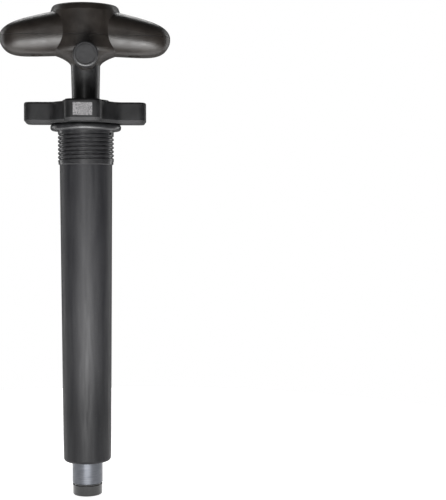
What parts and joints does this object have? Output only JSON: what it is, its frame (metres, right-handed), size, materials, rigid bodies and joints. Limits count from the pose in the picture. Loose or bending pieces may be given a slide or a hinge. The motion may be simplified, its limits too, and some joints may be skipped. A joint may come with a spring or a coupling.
{
  "type": "mini pump",
  "caption": "Slim hand air pump: T-grip with a pressure gauge on top, capped front outlet, lobed clamping nut, threaded collar and long tapered barrel.",
  "frame": {"origin": "on the pump's axis at the seat under the collar's flange", "axes": "+Z along the pump towards the grip, X along the grip, -Y towards the outlet"},
  "size_m": [0.1278, 0.0918, 0.37],
  "materials": {
    "grip_plastic": "fine textured black plastic",
    "stem_plastic": "semi-gloss black plastic",
    "nut_plastic": "satin black plastic, fine grain",
    "thread_plastic": "glossy black plastic",
    "casing_black": "satin black moulded casing",
    "bezel_black": "glossy black",
    "inner_plastic": "grey moulded acetal",
    "aluminium": "anodised satin",
    "steel": "plain steel",
    "brass": "pale brass",
    "rubber": "matte black rubber",
    "filter_foam": "open foam",
    "dial_print": "off-white enamel with printed scales",
    "pointer_black": "black enamel",
    "lens_glass": "clear"
  },
  "bodies": {
    "barrel": {"barrel_casing": "casing_black", "threaded_collar": "thread_plastic", "cylinder_liner": "aluminium", "rod_guide": "inner_plastic", "rod_wiper": "rubber", "collar_o_ring": "rubber", "end_plug": "bezel_black", "end_plug_o_ring": "rubber", "intake_cage": "inner_plastic", "intake_spring": "steel", "inlet_filter": "filter_foam", "top_bumper": "rubber"},
    "intake_disc": {"intake_disc": "rubber"},
    "slip_ring": {"slip_ring": "inner_plastic"},
    "nut": {"lobed_nut": "nut_plastic"},
    "piston_seal": {"piston_cup": "rubber"},
    "handle": {"piston_rod": "aluminium", "piston_body": "inner_plastic", "piston_valve_seat": "brass", "valve_spring_keeper": "brass", "piston_spring": "steel", "stem_sleeve": "stem_plastic", "handle_lower_shell": "grip_plastic", "handle_upper_shell": "grip_plastic", "handle_screws": "steel", "manifold": "inner_plastic", "manifold_o_ring": "rubber", "nozzle_seal": "rubber", "outlet_nozzle": "brass", "gauge_case": "steel", "gauge_seal": "rubber", "gauge_socket": "brass", "bourdon_tube": "brass", "movement_frame": "brass", "dial_plate": "dial_print", "dial_screws": "brass", "stop_pin": "brass", "lens_gasket": "rubber", "lens": "lens_glass", "gauge_bezel": "bezel_black"},
    "port_cap": {"port_cap": "stem_plastic", "cap_seal": "rubber"},
    "sector": {"sector_gear": "brass", "sector_arbor": "steel"},
    "pointer": {"pointer": "pointer_black", "pointer_cap": "brass", "pinion_arbor": "brass"},
    "piston_ball": {"piston_ball": "steel"}
  },
  "joints": [
    {"name": "plunger_slide", "type": "slide", "parent": "barrel", "child": "piston_seal", "axis": [0, 0, 1], "range_m": [0, 0.2215]},
    {"name": "handle_turn", "type": "hinge", "parent": "piston_seal", "child": "handle", "pos_m": [0, 0, 0], "axis": [0, 0, 1], "continuous": true},
    {"name": "nut_turn", "type": "hinge", "parent": "slip_ring", "child": "nut", "pos_m": [0, 0, 0.013], "axis": [0, 0, 1], "range_deg": [0, 1080]},
    {"name": "nut_rise", "type": "slide", "parent": "barrel", "child": "slip_ring", "axis": [0, 0, 1], "range_m": [0, 0.0091]},
    {"name": "cap_slide", "type": "slide", "parent": "handle", "child": "port_cap", "axis": [0, -1, 0], "range_m": [0, 0.022]},
    {"name": "sector_turn", "type": "hinge", "parent": "handle", "child": "sector", "pos_m": [0, -0.01188, 0.0765], "axis": [0, 0, 1], "range_deg": [0, 25.6], "stiffness_Nm_per_rad": 0.002, "springref_deg": -1.15},
    {"name": "pointer_turn", "type": "hinge", "parent": "handle", "child": "pointer", "pos_m": [0, 0, 0.0851], "axis": [0, 0, 1], "range_deg": [-205, 0]},
    {"name": "delivery_lift", "type": "slide", "parent": "handle", "child": "piston_ball", "axis": [0, 0, 1], "range_m": [0, 0.0012], "stiffness_N_per_m": 60, "springref_m": -0.003, "deforming": ["piston_spring"]},
    {"name": "intake_lift", "type": "slide", "parent": "barrel", "child": "intake_disc", "axis": [0, 0, 1], "range_m": [0, 0.001], "stiffness_N_per_m": 40, "springref_m": -0.003, "deforming": ["intake_spring"]}
  ],
  "couplings": [
    {"joint": "nut_rise", "follows": "nut_turn", "m_per_rad": 0.00047746},
    {"joint": "pointer_turn", "follows": "sector_turn", "ratio": -8}
  ]
}
